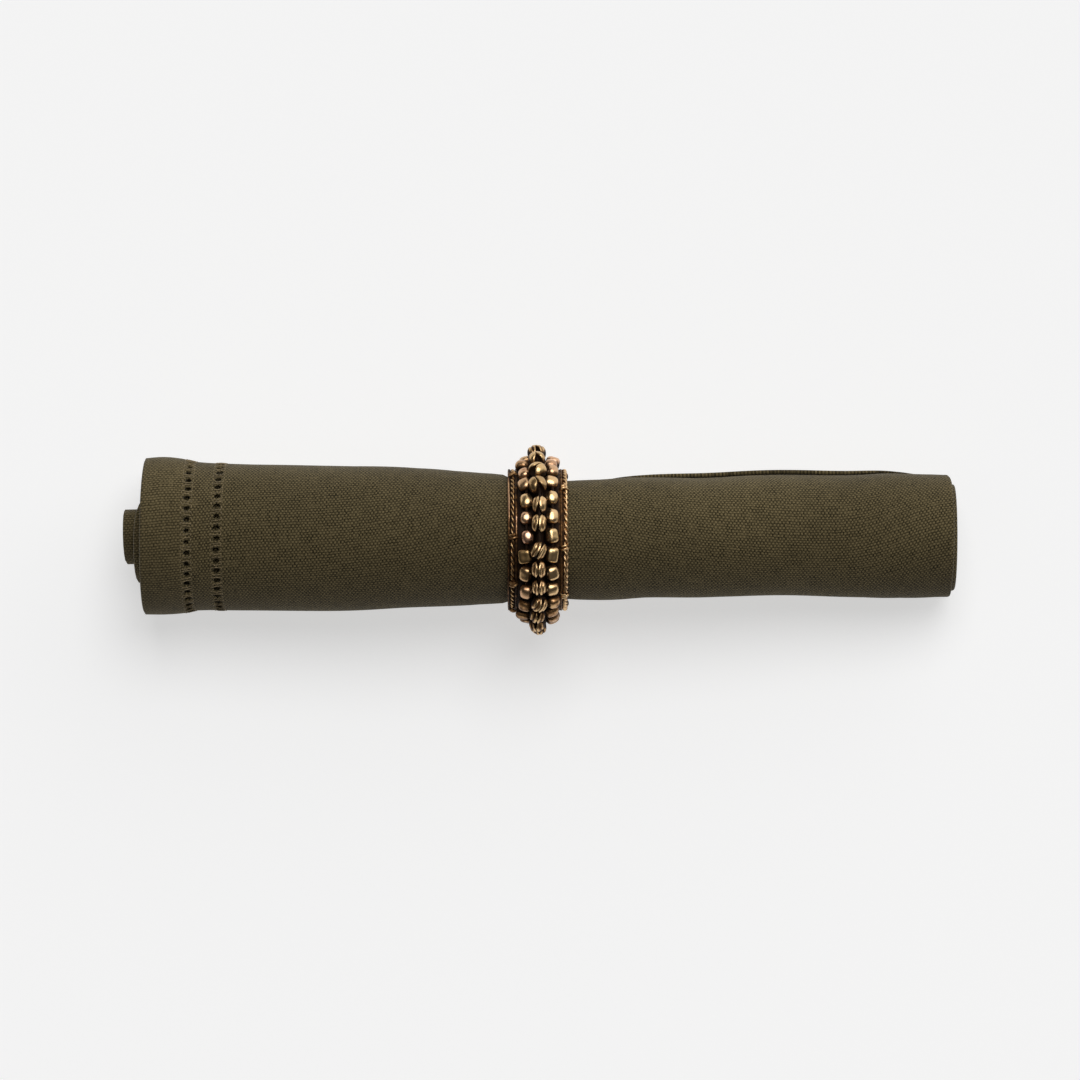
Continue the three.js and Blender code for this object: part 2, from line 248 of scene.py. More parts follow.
cloth = {
    "side": 508,  # the napkin is a square of this side
    "ply": 0.45,  # thickness of the cloth
    "endHem": 1.3,  # thickness of the hems at the hem end
    "hemWidth": 14.2,  # from an edge to the middle of its first row of holes
    "hemStep": 0.9,  # half of the length over which a hem thins out to the cloth
    "turns": 5.85,  # how often the folded cloth goes round
    "setBack": 13.5,  # the inner half's loose edge lies this far behind the outer half's
    "setBackReach": 90,  # length of cloth from the fold over which it comes to lie there
    "foldHalf": 1.3,  # half of the length of cloth that bends round the fold
    "foldDepth": 0.75,  # from the fold's outside to the middle of its bend
    "leastGap": 0.08,  # between the two layers of a turn
    "coreRadius": 0.35,  # no turn gets tighter than this
    "holePitch": 3.46,
    "holeRadius": (1.22, 0.98),  # along and across the roll
    "yarnAlong": 0.82,  # spacing of the yarns that lie along the roll, and of those round it
    "yarnRound": 0.57,
    "colour": (0.197, 0.1525, 0.0745),
    "gap": (0.022, 0.0175, 0.007),  # the dark between yarns
    "thread": (0.26, 0.195, 0.1),  # of the rows of holes
}
hemEnd, foldEnd = -123.45, 129.3  # the roll's ends before it is centred

# how the turns lie: room under the loose end, how far the outer face falls in a turn, how many turns the lift of
# the loose edge takes to die away, how strongly a turn repeats the step of the one over it, and where that begins
wound = {"slack": 0.45, "fall": 0.8, "liftEnd": 0.18, "echo": 0.62, "echoFrom": 0.86}

# x, half width, height over width, centre in Y
rollRows = [
    (-125, 25.1, 0.91, 1.54), (-118, 25.45, 0.91, 1.72), (-112, 24.95, 0.92, 1.67), (-108, 23.95, 0.93, 1.55),
    (-97, 23.45, 0.94, 1.35), (-75, 23.15, 0.95, 0.95), (-58, 22.9, 0.96, 0.85), (-43, 22.35, 0.97, 0.9),
    (-28, 21.65, 0.98, 1.02), (-18, 21.05, 0.99, 0.92), (-13, 20.7, 1, 0.72), (-11.4, 20.4, 1, 0.6),
    (-10.5, 19.9, 1, 0.5), (-9.8, 19.3, 1, 0.4), (8, 18.9, 1, 0.3), (9.9, 18.95, 1, 0.25), (12, 19.1, 1, 0.27),
    (20, 19.28, 0.99, 0.44), (25, 19.4, 0.99, 0.8), (34, 19.17, 0.98, 1.13), (50, 19.05, 0.98, 1.15),
    (66, 19.2, 0.97, 1.5), (82, 19.37, 0.96, 1.73), (97, 19.6, 0.96, 1.63), (107, 19.95, 0.95, 1.6),
    (113, 19.97, 0.95, 1.53), (120, 19.75, 0.95, 1.43), (124.5, 19.6, 0.95, 1.5), (130, 19.4, 0.95, 1.5),
]
# x, angle of the loose edge, thickness of the loose end, how far it stands away
looseRows = [
    (-125, 116, 2.6, 0), (-112, 115, 2.5, 0), (-108, 115, 1.7, 0), (-97, 115, 1.1, 0), (-60, 114, 0.95, 0),
    (-28, 113, 0.85, 0), (-12, 113, 0.85, 0), (9, 114, 0.8, 0), (20, 112, 0.8, 0), (25, 108, 0.75, 0),
    (34, 100, 0.7, 0), (50, 92, 1.1, 0.4), (66, 88, 1, 0.5), (82, 87, 1, 0.5), (97, 90, 0.85, 0.4),
    (107, 97, 0.7, 0.2), (113, 103, 0.6, 0.05), (120, 110, 0.6, 0), (130, 116, 0.6, 0),
]
# x, thickness of the hem at the loose edge, which the ring presses flat
looseHemRows = [
    (-125, 0.95), (-20, 0.95), (-10, 0.8), (9, 0.8), (30, 0.95), (48, 1.25), (92, 1.25), (102, 0.95),
    (112, 0.8), (130, 0.8),
]
# turns from the loose edge, share of the fall towards the core
windRows = [(1, 0), (2.43, 1.76), (4.43, 3.1), (4.93, 3.38), (5.85, 4.33), (7, 5.2)]
# turns from the loose edge, how far that turn has slid along the roll at the fold and at the hem end
slideRows = [
    (0, -0.3, -0.3), (0.43, -0.4, -0.5), (0.68, 0, -0.1), (0.86, -0.4, 0), (0.97, -1.4, 0), (1.1, -0.8, 0.2),
    (1.3, 0.4, 0.8), (1.42, 0.9, 0.9), (2.1, 0.9, 0.9), (2.32, 0.3, -1.2), (2.42, 0, -2.6), (2.74, 0, -2.6),
    (2.88, -0.3, 0.2), (3.05, -0.6, 0.2), (3.3, -1.2, -1.2), (3.45, -1.6, -2.2), (3.75, -2, -2.2),
    (3.9, -2.5, 0), (4.03, -3, 0), (4.33, -5, -6.2), (7, -5, -6.2),
]
# soft dents in three long waves, and small gathers round the roll where it comes out of the ring
dents = {"depths": (0.13, 0.12, 0.09), "gather": 0.15, "gathers": 9, "gatherReach": 14}
# on each side of the ring the roll sinks over a length, to a depth, and its end tips outwards by a share
sag = {
    "hemSide": (113, 7.9, 0.82),
    "foldSide": (117, 12, 0.3),
    "held": 11,  # half of the length that the ring keeps straight
    "soft": (4, 0.85),  # below this height the cloth is pressed together to this share
}
ringMiddle = -0.55  # where the ring is before the whole is centred over the origin
shiftX, shiftY = ringX - ringMiddle, ringY


# radius of the outer face of the folded cloth: it falls evenly, steps down under the loose edge, and each turn
# further in repeats that step more weakly
def outerFace(x, turned, pitch):
    radius = columns(rollRows, x)[0]
    _, leaf, lift = columns(looseRows, x)
    press = leaf + wound["slack"] - wound["fall"] - lift
    whole = np.maximum(np.floor(turned), 0)
    share = turned - whole
    lifted = lift * np.maximum(0, 1 - turned / wound["liftEnd"]) ** 2
    fallen = (wound["fall"] + press) * np.minimum(turned, 1) + pitch * columns(windRows, turned)[0]
    echo = press * wound["echo"] ** whole * (share - smooth(share, wound["echoFrom"], 1))
    return radius + wound["fall"] / 2 + lifted - fallen + echo


# tables over x: the pitch that winds up all of the cloth, and the turns at each length of cloth from its loose edge
tableX = np.linspace(-136, 136, 137)
tableTurn = np.linspace(-0.05, cloth["turns"] + 0.05, 900)
tableLength = np.linspace(-6, cloth["side"] + 6, 600)
perTurn = turnAngle * (1 + columns(rollRows, tableX)[1]) / 2
bare = outerFace(tableX[:, None], tableTurn[None], 0.0) - cloth["ply"] / 2
inRoll = (tableTurn >= 0) & (tableTurn <= cloth["turns"])
step = tableTurn[1] - tableTurn[0]
bareSum = np.sum(bare[:, inRoll], 1) * step
fallShare = columns(windRows, tableTurn)[0]
tablePitch = (bareSum - cloth["side"] / perTurn) / (np.sum(fallShare[inRoll]) * step)
speed = perTurn[:, None] * (bare - tablePitch[:, None] * fallShare)
lengths = np.cumsum(speed, 1) * step
lengths -= np.array([np.interp(0, tableTurn, row) for row in lengths])[:, None]
shearReach = 26  # yarns give way over this length of the roll, so that the cloth's shear is spread along x
nearby = np.exp(-(((tableX[:, None] - tableX) / shearReach) ** 2))
lengths = nearby @ lengths / nearby.sum(1, keepdims=True)
turnTable = np.array([np.interp(tableLength, row, tableTurn) for row in lengths])
print("pitch of the roll", np.round(tablePitch[[6, 40, 68, 100, 132]], 2))


def pitchAt(x):
    return np.interp(x, tableX, tablePitch)


# turns at x and at the length v of cloth from the loose edge: between the four nearest values of the table
def turnedAt(x, v):
    i = np.clip((x - tableX[0]) / (tableX[1] - tableX[0]), 0, len(tableX) - 1.001)
    j = np.clip((v - tableLength[0]) / (tableLength[1] - tableLength[0]), 0, len(tableLength) - 1.001)
    a, b = i.astype(int), j.astype(int)
    i, j = i - a, j - b
    near = turnTable[a, b] * (1 - j) + turnTable[a, b + 1] * j
    far = turnTable[a + 1, b] * (1 - j) + turnTable[a + 1, b + 1] * j
    return near * (1 - i) + far * i


# u runs from the hem end over the fold at half the side and back, v from the loose edge to the core
def thicknessAt(u, v, x):
    fromEnd = np.minimum(u, cloth["side"] - u)
    fromLoose = np.minimum(v, cloth["side"] - v)
    thinning = (cloth["hemWidth"] - cloth["hemStep"], cloth["hemWidth"] + cloth["hemStep"])
    endHem = (cloth["endHem"] - cloth["ply"]) * (1 - smooth(fromEnd, *thinning))
    looseHem = (columns(looseHemRows, x)[0] - cloth["ply"]) * (1 - smooth(fromLoose, *thinning))
    return cloth["ply"] + np.maximum(endHem, looseHem)


# soft dents that all turns share, by place along and round the roll
def dentAt(x, angle):
    first, second, third = dents["depths"]
    waves = first * np.sin(x / 9.7 + 0.6) * np.sin(angle + 0.5) + second * np.sin(x / 17 + 2 * angle + 1.9)
    waves += third * np.sin(x / 6.1 - 3 * angle + 0.4)
    fromRing = np.abs(x - ringMiddle) - 10
    fading = np.exp(-np.maximum(fromRing, 0) / dents["gatherReach"])
    gathers = dents["gather"] * np.sin(dents["gathers"] * angle + 0.13 * x) * fading
    return (waves + gathers) * smooth(fromRing, 0, 9)


# middle of the cloth's thickness at (u, v): a double spiral with the radius r falling as the angle a grows,
# (r sin a, r cos a times flatten), bent down on both sides of the ring as a beam is, and laid on the surface
def clothPoint(u, v):
    half, foldHalf = cloth["side"] / 2, cloth["foldHalf"]
    bend = np.clip((u - half) / foldHalf, -1, 1) * math.pi / 2
    inside = (1 + np.sin(bend)) / 2
    foldX = foldEnd - cloth["foldDepth"]
    x = foldX - np.maximum(np.abs(u - half) - foldHalf, 0) * (foldX - hemEnd) / (half - foldHalf)
    slip = cloth["setBack"] * smooth(u - half, 0, cloth["setBackReach"]) * (1 - v / cloth["side"]) ** 2
    turned = turnedAt(x, v + slip)
    atFold, atHem = columns(slideRows, turned)
    x = x + atFold + (atHem - atFold) * np.abs(u - half) / half
    thick = thicknessAt(u, v, x)
    face = outerFace(x, turned, pitchAt(x))
    gap = face - outerFace(x, turned + 1, pitchAt(x))
    apart = thick + np.maximum(gap - 2 * thick, cloth["leastGap"]) / 2
    x = x + apart / 2 * np.cos(bend)
    edge = columns(looseRows, x)[0]
    angle = np.radians(edge) + turnAngle * turned
    radius = np.maximum(face - thick / 2 - apart * inside + dentAt(x, angle), cloth["coreRadius"])
    _, flatten, sideways = columns(rollRows, x)
    y = radius * np.sin(angle)
    z = radius * np.cos(angle) * flatten
    sides = (np.array(sag[side])[:, None] for side in ("hemSide", "foldSide"))
    reach, drop, lean = np.where(x < ringMiddle, *sides)
    t = np.maximum(0, (np.abs(x - ringMiddle) - sag["held"]) / reach)
    tip = lean * np.sign(x - ringMiddle) * drop * (3 * t - 1.5 * t * t) / reach
    height = z + ringZ - drop * t * t * (3 - t) / 2
    softBelow, pressed = sag["soft"]
    height = np.where(height < softBelow, softBelow - (softBelow - height) * pressed, height)
    return np.stack([x + tip * z + shiftX, y + sideways + shiftY, np.maximum(height, thick / 2)], -1), thick


# the cloth's unit normal: across du and dv by differences
def clothNormal(u, v):
    reach = 0.25
    alongU = clothPoint(u + reach, v)[0] - clothPoint(u - reach, v)[0]
    alongV = clothPoint(u, v + reach)[0] - clothPoint(u, v - reach)[0]
    normal = np.cross(alongU, alongV)
    return normal / np.maximum(np.linalg.norm(normal, axis=-1, keepdims=True), 1e-9)


# lines of the cloth's grid: the cells along the hems, where the rows of holes run, are cut in 4 by 4
firstRow, secondRow = 15, 25  # lines of the cut grid that the two rows of holes follow
hemCells = 8  # cells beside an edge that are cut
hemLine = 4 * cloth["hemWidth"] / firstRow  # width of those cells
half, foldHalf = cloth["side"] / 2, cloth["foldHalf"]
hemLines = np.arange(hemCells) * hemLine
outerLines = np.concatenate([hemLines, np.linspace(hemCells * hemLine, half - foldHalf, 66)])
outerCells = len(outerLines) - 1
innerStop = cloth["side"] - cloth["hemWidth"]
linesU = np.concatenate([
    outerLines,
    np.linspace(half - foldHalf, half + foldHalf, 9)[1:],
    np.linspace(half + foldHalf, innerStop, 36)[1:],
    [innerStop + 1, innerStop + 2, cloth["side"] - 6, cloth["side"]],
])
linesV = np.concatenate([hemLines, np.linspace(hemCells * hemLine, cloth["side"], 140)])
stitchedV = 48  # the hem end's rows of holes are modelled on the outer turn
cutIn4 = np.zeros((len(linesU) - 1, len(linesV) - 1), bool)
cutIn4[:hemCells, :stitchedV] = True
cutIn4[:outerCells, :hemCells] = True


def cutLines(lines):
    return np.interp(np.arange(4 * (len(lines) - 1) + 1) / 4, np.arange(len(lines)), lines)


fineU, fineV = cutLines(linesU), cutLines(linesV)


# places of the holes of a row: where it meets the same row of the other side, and then every 4 lines
def holeRow(line, last):
    return np.concatenate([[line], np.arange(4 * math.ceil((line + 2) / 4) + 2, last, 4)])


holesAlongV = [(line, holeRow(line, 4 * stitchedV)) for line in (firstRow, secondRow)]
holesAlongU = [(line, holeRow(line, 4 * outerCells)) for line in (firstRow, secondRow)]
holes = np.concatenate(
    [np.stack([np.full(len(j), line), j], 1) for line, j in holesAlongV]
    + [np.stack([i[1:], np.full(len(i) - 1, line)], 1) for line, i in holesAlongU]
)


# both faces of the cloth, half its thickness to each side of the middle along its normal, with a rounded edge
# round its outline and round each hole
def napkinMesh():
    dice = np.random.default_rng(7)
    gridU, gridV = np.meshgrid(fineU, fineV, indexing="ij")
    size = dice.uniform(0.88, 1.06, (len(holes), 1))
    jitter = dice.normal(0, 0.07, (len(holes), 2))
    around = np.array([(1, 0), (1, 1), (0, 1), (-1, 1), (-1, 0), (-1, -1), (0, -1), (1, -1)])
    outwards = around / np.linalg.norm(around, axis=1, keepdims=True)
    ring = holes[:, None] + around[None]
    centreU, centreV = gridU[holes[:, 0], holes[:, 1]], gridV[holes[:, 0], holes[:, 1]]
    radiusU, radiusV = cloth["holeRadius"]
    gridU[ring[..., 0], ring[..., 1]] = centreU[:, None] + jitter[:, :1] + radiusU * size * outwards[:, 0]
    gridV[ring[..., 0], ring[..., 1]] = centreV[:, None] + jitter[:, 1:] + radiusV * size * outwards[:, 1]

    number = np.arange(gridU.size).reshape(gridU.shape)
    fine = np.repeat(np.repeat(cutIn4, 4, 0), 4, 1)
    for di, dj in ((0, 0), (-1, 0), (0, -1), (-1, -1)):
        fine[holes[:, 0] + di, holes[:, 1] + dj] = False
    i, j = np.nonzero(fine)
    groups = [np.stack([number[i, j], number[i + 1, j], number[i + 1, j + 1], number[i, j + 1]], 1)]
    # a coarse cell takes in the extra corners of a neighbour that is cut
    cutLeft = np.zeros_like(cutIn4)
    cutLeft[1:] = cutIn4[:-1]
    cutBelow = np.zeros_like(cutIn4)
    cutBelow[:, 1:] = cutIn4[:, :-1]
    for left in (False, True):
        for below in (False, True):
            i, j = np.nonzero(~cutIn4 & (cutLeft == left) & (cutBelow == below))
            i, j = 4 * i, 4 * j
            corners = [number[i, j]] + [number[i + k, j] for k in ((1, 2, 3) if below else ())]
            corners += [number[i + 4, j], number[i + 4, j + 4], number[i, j + 4]]
            corners += [number[i, j + k] for k in ((3, 2, 1) if left else ())]
            groups.append(np.stack(corners, 1))
    used, compact = np.unique(np.concatenate([g.ravel() for g in groups]), return_inverse=True)
    sizes = np.cumsum([g.size for g in groups])[:-1]
    groups = [part.reshape(-1, g.shape[1]) for part, g in zip(np.split(compact, sizes), groups) if len(g)]
    u, v = gridU.ravel()[used], gridV.ravel()[used]
    flat = np.stack([u, v], 1)

    # open edges: those whose reverse is in no face, and the way out of the cloth at each
    sides = [np.stack([g[:, k], np.roll(g, -1, 1)[:, k]], 1) for g in groups for k in range(g.shape[1])]
    start, end = np.concatenate(sides).T
    count = len(used)
    isOpen = ~np.isin(start * count + end, end * count + start)
    a, b = start[isOpen], end[isOpen]
    along = flat[b] - flat[a]
    away = np.stack([along[:, 1], -along[:, 0]], 1)
    away /= np.linalg.norm(away, axis=1, keepdims=True)
    push = np.zeros((count, 2))
    np.add.at(push, a, away)
    np.add.at(push, b, away)
    rim = np.unique([a, b])
    push = push[rim] / np.linalg.norm(push[rim], axis=1, keepdims=True)

    middle, thick = clothPoint(u, v)
    normal = clothNormal(u, v)
    front = middle + normal * thick[:, None] / 2
    back = middle - normal * thick[:, None] / 2
    shift = push * 0.3 * thick[rim, None]
    ridge = clothPoint(u[rim] + shift[:, 0], v[rim] + shift[:, 1])[0]
    corners = np.concatenate([front, back, ridge])
    corners[:, 2] = np.maximum(corners[:, 2], 0)
    ridgeOf = np.zeros(count, int)
    ridgeOf[rim] = 2 * count + np.arange(len(rim))
    walls = [
        np.stack([b, a, ridgeOf[a], ridgeOf[b]], 1),
        np.stack([ridgeOf[b], ridgeOf[a], a + count, b + count], 1),
    ]
    uv = np.concatenate([flat, flat, flat[rim]])
    return corners, groups + [g[:, ::-1] + count for g in groups] + walls, uv


# plain weave on the cloth's own u and v, with thick and thin yarns, paler at the hem, and with painted light on the
# roll right of the ring
def clothMaterial():
    material, wire = newMaterial("napkin cloth")
    place = wire.node("ShaderNodeUVMap", {"uv_map": "cloth"})
    u = place.node("ShaderNodeSeparateXYZ", None, {0: place})
    v = place.node("ShaderNodeSeparateXYZ", None, {0: place}, 1)

    def noise(alongU, alongV, detail=2.0, seed=0.0):
        at = wire.node("ShaderNodeCombineXYZ", None, {0: u * alongU + seed, 1: v * alongV})
        settings = {"noise_dimensions": "2D"}
        return wire.node("ShaderNodeTexNoise", settings, {"Vector": at, "Scale": 1.0, "Detail": detail})

    # yarns go over and under each other: sin(pi u / p) sin(pi v / q) is above 0 where those along the roll are
    # on top
    bendU = noise(0.05, 0.02) * 4.0 + noise(0.4, 0.4, 2.0, 71.0) * 2.4
    bendV = noise(0.02, 0.05, 2.0, 31.0) * 4.0 + noise(0.4, 0.4, 2.0, 47.0) * 2.0
    overU = (u * (math.pi / cloth["yarnRound"]) + bendU).math("SINE")
    overV = (v * (math.pi / cloth["yarnAlong"]) + bendV).math("SINE")
    checks = overU * overV
    crown = checks.math("ABSOLUTE") ** 0.6
    slub = noise(0.16, 2.4, 1.0, 11.0) + noise(2.6, 0.16, 1.0, 57.0)  # thick and thin places, long in one direction
    uneven = noise(0.9, 0.6, 1.0, 23.0)
    rows = overV.math("ABSOLUTE") ** 0.7
    inHem = 1.0 - u.ramp(11.0, 17.0)
    # 0 in the dark between yarns and 1 on a yarn: the rows show more than the checks in the doubled hem
    tone = checks * (1.3 * uneven - 0.1) * (0.87 - 0.27 * inHem) + rows * (0.65 + 0.1 * inHem)
    tone = tone + slub * 0.5 - 0.495 - inHem * 0.03
    patch = noise(0.03, 0.03, 3.0, 5.0)
    yarn = tone.math("MAXIMUM", 0.0).mix(cloth["gap"], cloth["colour"])
    colour = patch.ramp(0.3, 0.7).mix(yarn, (0.88, 0.88, 0.88), "MULTIPLY")
    # paler at the hem, and painted light: lighter on the roll right of the ring, fading towards the fold
    paleAndPaintedLight = 1.055 + inHem * 0.035 + u.ramp(120.0, 165.0) * (1.0 - u.ramp(190.0, 240.0) * 0.9) * 0.13
    colour = wire.node("ShaderNodeVectorMath", {"operation": "SCALE"}, {0: colour, "Scale": paleAndPaintedLight})
    height = checks * 0.5 + crown * 0.5 + slub * 0.3
    normal = wire.node("ShaderNodeBump", None, {"Strength": 0.6, "Distance": 0.00012, "Height": height})
    surface(
        wire, Base_Color=colour, Roughness=0.92, Sheen_Weight=0.1, Sheen_Roughness=0.5,
        Specular_IOR_Level=0.1, Normal=normal,
    )
    return material


def threadMaterial():
    material, wire = newMaterial("hemstitch thread")
    spots = spotsOf(wire, 1400.0, 2.0)
    dark, light = ([share * c for c in cloth["thread"]] for share in (0.6, 1.2))
    colour = spots.ramp(0.35, 0.65).mix(dark, light)
    normal = wire.node("ShaderNodeBump", None, {"Strength": 0.5, "Distance": 0.00005, "Height": spots})
    surface(wire, Base_Color=colour, Roughness=0.75, Sheen_Weight=0.1, Normal=normal)
    return material


corners, groups, uv = napkinMesh()
napkinPiece = addPiece("napkin_cloth", corners, groups, clothMaterial(), "cloth", "napkin", uv)

stitch = {
    "railAside": 1.65,  # how far the rails are from the line of the holes, and how much that varies
    "railWave": 0.16,
    "railHalf": 0.14,  # half thickness of a rail and of a bar
    "barHalf": 0.13,
    "barReach": 1.6,  # half length of a bar
    "barSteps": 6,
    "step": 0.43,  # between a rail's points
    "past": 1.2,  # how far a rail goes past the last hole
    "fromEdge": 0.2,  # no thread comes closer to the cloth's loose edge
}


# threads of the rows of holes, on the cloth's face along its normal: on both sides of a row a rail that waves in
# and out with the holes, and two bars of thread between each hole and the next
def hemstitch():
    dice = np.random.default_rng(11)
    parts = []
    rows = [(False, fineU[line], fineV[j]) for line, j in holesAlongV]
    rows += [(True, fineV[line], fineU[i]) for line, i in holesAlongU]
    for alongU, line, stops in rows:
        between = (stops[1:] + stops[:-1]) / 2

        def place(along, aside, raised):
            u, v = (along, line + aside) if alongU else (line + aside, along)
            shape = u.shape
            u, v = u.ravel(), np.maximum(v, stitch["fromEdge"]).ravel()
            raised = np.broadcast_to(raised, shape).ravel()
            point, thick = clothPoint(u, v)
            normal = clothNormal(u, v)
            return (point + normal * (thick / 2 + raised)[..., None]).reshape(*shape, 3), normal.reshape(*shape, 3)

        along = np.arange(stops[0] - stitch["past"], stops[-1] + stitch["past"], stitch["step"])
        wave = turnAngle * (along - stops[0]) / cloth["holePitch"]
        for side in (-1, 1):
            aside = side * (stitch["railAside"] + stitch["railWave"] * np.cos(wave * 2 + side))
            aside = aside + dice.normal(0, 0.04, len(along))
            raised = -0.14 + 0.22 * np.sin(wave * 2 + 1.3 * np.sin(0.37 * along + side))
            path, up = place(along[None], aside[None], raised[None])
            parts.append(tubes(path, stitch["railHalf"], 5, up))
        lean = dice.normal(0, 0.12, (len(between), 1, 1))
        apart = np.array([-0.5, 0.5])[None, :, None] * dice.uniform(0.6, 1.2, (len(between), 1, 1))
        reach = np.linspace(-stitch["barReach"], stitch["barReach"], stitch["barSteps"])[None, None]
        middle = between[:, None, None] + apart * (0.75 + 0.4 * np.abs(reach)) + lean * reach
        aside = np.broadcast_to(reach, middle.shape).reshape(-1, stitch["barSteps"])
        raised = 0.1 - 0.2 * (aside / stitch["barReach"]) ** 4
        path, up = place(middle.reshape(-1, stitch["barSteps"]), aside, raised)
        parts.append(tubes(path, stitch["barHalf"], 5, up))
    corners, groups = joined(parts)
    corners[:, 2] = np.maximum(corners[:, 2], 0)
    return corners, groups


stitching = addPiece("hem_stitching", *hemstitch(), threadMaterial(), "cloth")

metal = {
    "brass": (0.82, 0.575, 0.285),
    "copperAndReflection": (0.86, 0.48, 0.34),
    "dull": (0.34, 0.21, 0.08),  # brass that nothing rubs
    # the next two are the colours of tarnish and patina, and of painted shade under and between the parts
    "shadeAndTarnishColour": (0.33, 0.155, 0.05),
    "shadeAndPatinaColour": (0.022, 0.011, 0.006),
    "roughTop": 0.26,
    "roughHollow": 0.55,
}


# brass painted lighter on top and darker further down: brown with tarnish and painted shade, brown-black in its
# hollows with patina and painted shade; tone is a bead's own, the copper tint carries painted reflection too, the
# dark value is 1 in a recess
def metalMaterial(name, shadeAndPatinaShare, bright=1.0):
    material, wire = newMaterial(name)
    value = lambda key: wire.node("ShaderNodeAttribute", {"attribute_name": key}, None, 2)
    spots, grain = spotsOf(wire, 700.0, 3.0), spotsOf(wire, 3200.0, 2.0)
    clean = value("copperAndReflection").math("ADD", spots * 0.5 - 0.25, clamp=True).mix(metal["brass"], metal["copperAndReflection"])
    shade = value("tone") * 0.75 + spots * 0.45 + 0.05
    worn = shade.ramp(0.05, 1.1).mix([bright * c for c in metal["dull"]], clean)
    # the dark value adds patina and painted shade: the brass turns tarnish brown, then brown-black
    depth = value("shadeAndPatina") + spots * 0.9 - 0.45 + shadeAndPatinaShare
    shadeAndPatinaMix = depth.ramp(0.15, 0.8)
    colour = shadeAndPatinaMix.mix(depth.ramp(0.0, 0.55).mix(worn, metal["shadeAndTarnishColour"]), metal["shadeAndPatinaColour"])
    rough = metal["roughTop"] + shadeAndPatinaMix * (metal["roughHollow"] - metal["roughTop"]) + grain * 0.12
    height = spots + grain * 0.3
    normal = wire.node("ShaderNodeBump", None, {"Strength": 0.35, "Distance": 0.0001, "Height": height})
    surface(
        wire, Base_Color=colour, Metallic=1.0 - shadeAndPatinaMix * 0.7, Roughness=rough, Specular_IOR_Level=0.12, Normal=normal
    )
    return material


beadMetal = metalMaterial("antique brass beads", 0.06)
rimMetal = metalMaterial("antique brass wire", 0.1)
# the band carries the largest share of patina and painted shade, as it lies under the beads
bandMetal = metalMaterial("antique brass band", 0.3, 0.9)

band = {
    # across from the ring's middle and radius, round the section from the bore
    "section": [
        (9.3, 19.75), (-9.65, 19.75), (-9.65, 22.2), (-8.95, 22.2), (-8.8, 21.65), (-7.1, 21.65), (-6.95, 21.75),
        (-6.4, 22.25), (-1.2, 22.25), (-0.9, 25.1), (1.5, 25.1), (1.8, 22.25), (6.5, 22.25), (7.1, 21.75),
        (7.25, 21.65), (9.3, 21.5),
    ],
    "steps": 240,
    # two plain wires: across, radius, half thickness and how much dirt and painted shade darken them
    "edgeWires": {"left": (-6.95, 21.95, 0.42, 0.35), "right": (7.15, 21.85, 0.42, 0.25)},
    "bright": (0.6, 0.35),  # angle of a place on the left edge that is made lighter, and half its length
    "wireBright": (0.27, 0.2),  # the same for the left wire
}


# 1 at an angle round the ring, and fading on both sides of it
def lighterPlace(angle, place):
    return np.exp(-(((angle - place[0]) / place[1]) ** 2))


# corners of a closed outline are cut twice, a fifth of the way along each side
def rounded(outline, times=2, cut=0.2):
    points = np.array(outline, float)
    for _ in range(times):
        after = np.roll(points, -1, 0)
        points = np.stack([points * (1 - cut) + after * cut, points * cut + after * (1 - cut)], 1).reshape(-1, 2)
    return points


# the section carried round the ring's axis, a little uneven as handwork is: r(a) = r + waves
def bandMesh():
    outline = rounded(band["section"])
    angle = turnAngle * np.arange(band["steps"]) / band["steps"]
    across, reach = outline[:, :1], outline[:, 1:]
    outside = smooth(reach, 20, 22)
    waves = 0.05 * np.sin(5 * angle + 0.7) + 0.04 * np.sin(11 * angle + across) + 0.03 * np.sin(23 * angle)
    corners = roundRing(across + 0.05 * np.sin(3 * angle + 1), reach + outside * waves, angle).reshape(-1, 3)
    index = np.arange(len(corners)).reshape(len(outline), -1)
    after = np.roll(index, -1, 0)
    quads = np.stack([index, np.roll(index, -1, 1), np.roll(after, -1, 1), after], -1).reshape(-1, 4)
    # the band is painted dark, as patina and as shade under and between the beads; its edges and the strip beside
    # the right rim get less of it, and the strip under the right row half as much less
    strip = smooth(across, 5.6, 6.4)
    shadeAndPatina = 1 - 0.72 * smooth(np.abs(across), 8.9, 9.3) - 0.62 * strip
    shadeAndPatina = shadeAndPatina - 0.45 * smooth(across, 2.4, 3.2) * (1 - strip)
    shadeAndPatina = shadeAndPatina - 0.7 * smooth(-across, 8.8, 9.0) * lighterPlace(angle, band["bright"])
    values = {
        "shadeAndPatina": np.broadcast_to(shadeAndPatina, index.shape).ravel(),
        "tone": np.broadcast_to(0.6, corners.shape[0]),
        "copperAndReflection": np.broadcast_to(0.55 + 0.2 * np.sin(4 * angle), index.shape).ravel(),
    }
    return corners, [quads], values


corners, groups, values = bandMesh()
addPiece("ring_band_metal", corners, groups, bandMetal, "band", "ring_band", values=values)


# values of a whole piece, or of each of its corners
def plain(corners, tone, copperAndReflection, shadeAndPatina):
    values = {"tone": tone, "copperAndReflection": copperAndReflection, "shadeAndPatina": shadeAndPatina}
    return {key: np.broadcast_to(value, len(corners)) for key, value in values.items()}


